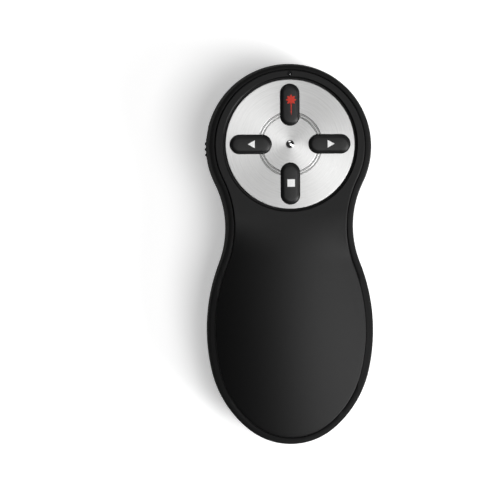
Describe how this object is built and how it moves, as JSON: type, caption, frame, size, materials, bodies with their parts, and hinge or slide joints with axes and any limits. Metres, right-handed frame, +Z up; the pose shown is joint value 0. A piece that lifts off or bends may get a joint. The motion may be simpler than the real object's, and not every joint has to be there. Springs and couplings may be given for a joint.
{
  "type": "wireless presentation clicker",
  "caption": "Hourglass-shaped handheld clicker: crowned black casing, round metal disc with oblong press keys, side power slider, sliding battery door and docked plug-in receiver.",
  "frame": {"origin": "on the rest plane, under the middle of the body's length and width", "axes": "+Y along the body towards the head with the disc and the laser exit, +X to the right seen from above with the head pointing away, +Z up out of the keys"},
  "size_m": [0.0475, 0.1082, 0.0223],
  "materials": {
    "case_plastic": "fine satin moulded black",
    "soft_touch_cover": "soft-touch matte black",
    "slider_plastic": "satin black, ribbed",
    "key_plastic": "satin black with printed icon",
    "plunger_plastic": "natural white",
    "switch_housing": "black moulded",
    "brushed_disc": "circular brushed",
    "adhesive": "translucent film",
    "polished_stud": "polished",
    "circuit_board": "green solder mask",
    "receiver_pcb": "red solder mask",
    "chip_resin": "moulded resin",
    "nickel_plate": "nickel plated",
    "gold_plate": "gold plated",
    "led_white": "white resin",
    "clear_plastic": "clear moulded",
    "lens_glass": "polished",
    "brass_sleeve": "turned",
    "cell_wrap": "printed film sleeve, plain",
    "screw_steel": "zinc plated",
    "plug_steel": "nickel plated, brushed",
    "plug_plastic": "white moulded",
    "cap_plastic": "satin black"
  },
  "bodies": {
    "housing": {"lower_case": "case_plastic", "top_cover": "soft_touch_cover", "control_disc": "brushed_disc", "disc_adhesive": "adhesive", "centre_stud": "polished_stud", "tact_switch_bodies": "switch_housing", "main_pcb": "circuit_board", "rf_chip": "chip_resin", "crystal_can": "nickel_plate", "chip_passives": "chip_resin", "antenna_trace": "gold_plate", "status_led": "led_white", "led_light_pipe": "clear_plastic", "slide_switch_body": "switch_housing", "laser_barrel": "brass_sleeve", "laser_lens": "lens_glass", "laser_diode_can": "nickel_plate", "laser_driver_board": "circuit_board", "laser_pins": "nickel_plate", "laser_window": "clear_plastic", "laser_clip": "case_plastic", "cell_left": "cell_wrap", "cell_right": "cell_wrap", "bridge_contact": "nickel_plate", "positive_contact": "nickel_plate", "negative_contact": "nickel_plate", "bridge_spring": "nickel_plate", "negative_spring": "nickel_plate", "case_screws": "screw_steel", "pcb_screws": "screw_steel"},
    "laser_button": {"laser_key": "key_plastic", "laser_plunger": "plunger_plastic"},
    "back_button": {"back_key": "key_plastic", "back_plunger": "plunger_plastic"},
    "forward_button": {"forward_key": "key_plastic", "forward_plunger": "plunger_plastic"},
    "blank_button": {"blank_key": "key_plastic", "blank_plunger": "plunger_plastic"},
    "power_switch": {"power_slider": "slider_plastic", "slide_switch_lever": "plunger_plastic"},
    "door": {"battery_door": "case_plastic"},
    "receiver": {"receiver_shell": "plug_steel", "receiver_tongue": "plug_plastic", "receiver_board": "receiver_pcb", "receiver_contacts": "gold_plate", "receiver_cap": "cap_plastic"}
  },
  "joints": [
    {"name": "laser_press", "type": "slide", "parent": "housing", "child": "laser_button", "axis": [0, 0, -1], "range_m": [0, 0.0005], "stiffness_N_per_m": 400, "springref_m": -0.001},
    {"name": "back_press", "type": "slide", "parent": "housing", "child": "back_button", "axis": [0, 0, -1], "range_m": [0, 0.0005], "stiffness_N_per_m": 400, "springref_m": -0.001},
    {"name": "forward_press", "type": "slide", "parent": "housing", "child": "forward_button", "axis": [0, 0, -1], "range_m": [0, 0.0005], "stiffness_N_per_m": 400, "springref_m": -0.001},
    {"name": "blank_press", "type": "slide", "parent": "housing", "child": "blank_button", "axis": [0, 0, -1], "range_m": [0, 0.0005], "stiffness_N_per_m": 400, "springref_m": -0.001},
    {"name": "power_slide", "type": "slide", "parent": "housing", "child": "power_switch", "axis": [0, 1, 0], "range_m": [0, 0.003]},
    {"name": "door_slide", "type": "slide", "parent": "housing", "child": "door", "axis": [0, -1, 0], "range_m": [0, 0.054]},
    {"name": "receiver_slide", "type": "slide", "parent": "housing", "child": "receiver", "axis": [0, -1, 0], "range_m": [0, 0.022]}
  ]
}
